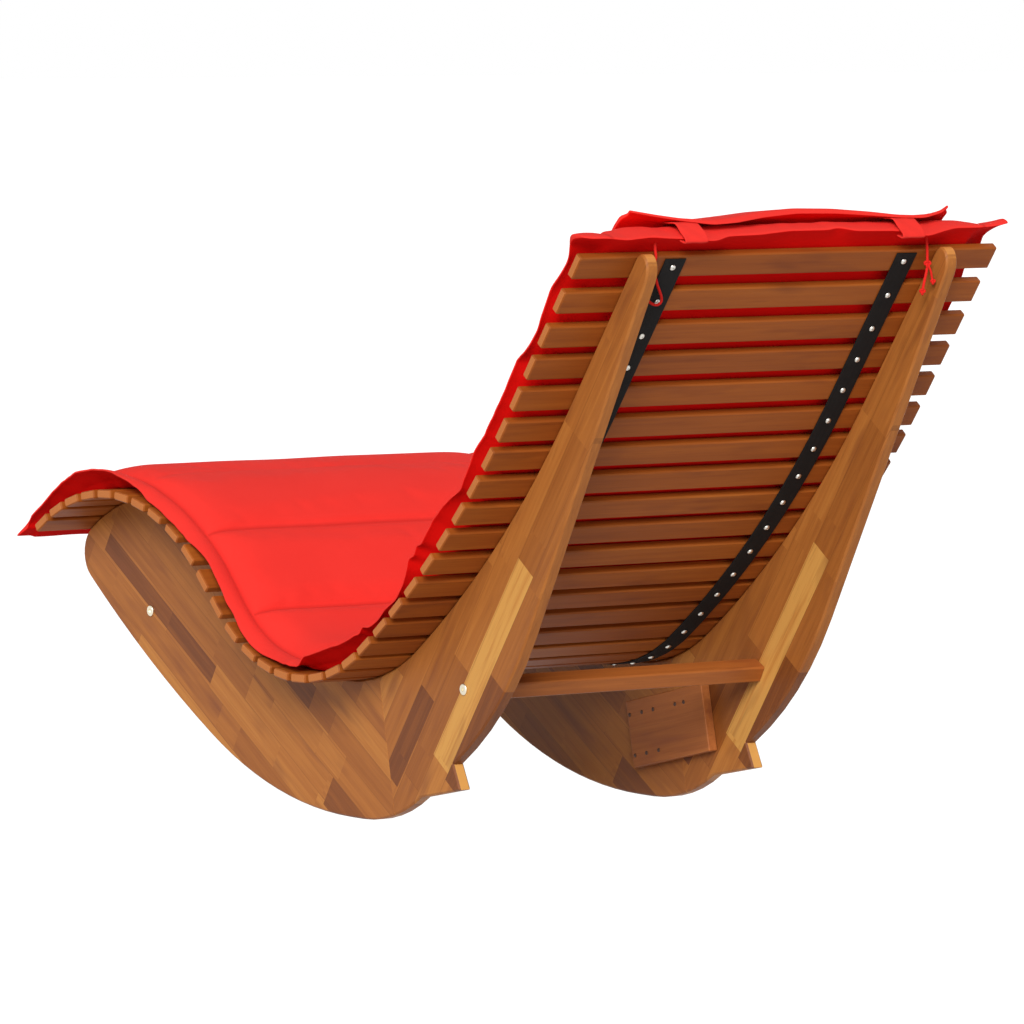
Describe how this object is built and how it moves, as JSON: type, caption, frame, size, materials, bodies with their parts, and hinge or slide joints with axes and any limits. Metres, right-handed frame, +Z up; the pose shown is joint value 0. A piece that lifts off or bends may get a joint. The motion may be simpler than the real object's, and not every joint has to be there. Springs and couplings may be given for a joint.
{
  "type": "rocking chaise lounge",
  "caption": "Wooden rocking chaise lounge: a slatted mat on webbing, bent to the body, on two laminated rocker frames, with a quilted pad and a banded head pillow",
  "frame": {"origin": "on the floor under the middle of the whole lounge, on its plane of symmetry", "axes": "+X to the left of a person lying in it, across the slats; +Y from the foot end to the head end; +Z up"},
  "size_m": [0.7, 1.4554, 0.8609],
  "materials": {
    "slat": "satin",
    "frame": "satin",
    "steel": "satin",
    "bolt": "satin",
    "webbing": "matte",
    "pad_cloth": "matte",
    "pillow_cloth": "matte",
    "band_cloth": "matte"
  },
  "bodies": {
    "frame": {"front_barrel_nut_left": "steel", "front_barrel_nut_right": "steel", "front_board_left": "frame", "front_board_right": "frame", "front_bolt_left": "bolt", "front_bolt_right": "bolt", "front_stretcher": "frame", "gusset_left": "frame", "gusset_right": "frame", "pillow_band_left": "band_cloth", "pillow_band_right": "band_cloth", "rear_barrel_nut_left": "steel", "rear_barrel_nut_right": "steel", "rear_board_left": "frame", "rear_board_right": "frame", "rear_bolt_left": "bolt", "rear_bolt_right": "bolt", "rear_stretcher": "frame", "seat_pad": "pad_cloth", "slat_01": "slat", "slat_02": "slat", "slat_03": "slat", "slat_04": "slat", "slat_05": "slat", "slat_06": "slat", "slat_07": "slat", "slat_08": "slat", "slat_09": "slat", "slat_10": "slat", "slat_11": "slat", "slat_12": "slat", "slat_13": "slat", "slat_14": "slat", "slat_15": "slat", "slat_16": "slat", "slat_17": "slat", "slat_18": "slat", "slat_19": "slat", "slat_20": "slat", "slat_21": "slat", "slat_22": "slat", "slat_23": "slat", "slat_24": "slat", "slat_25": "slat", "slat_26": "slat", "slat_27": "slat", "slat_28": "slat", "slat_29": "slat", "slat_30": "slat", "slat_31": "slat", "slat_32": "slat", "slat_33": "slat", "slat_34": "slat", "slat_35": "slat", "tie_cord_left": "band_cloth", "tie_cord_right": "band_cloth", "webbing_left": "webbing", "webbing_right": "webbing"},
    "head_pillow": {"head_pillow": "pillow_cloth"}
  },
  "joints": [
    {"name": "pillow_flip", "type": "hinge", "parent": "frame", "child": "head_pillow", "pos_m": [0, 0.6811, 0.85833], "axis": [-1, 0, 0], "range_deg": [0, 110]}
  ]
}
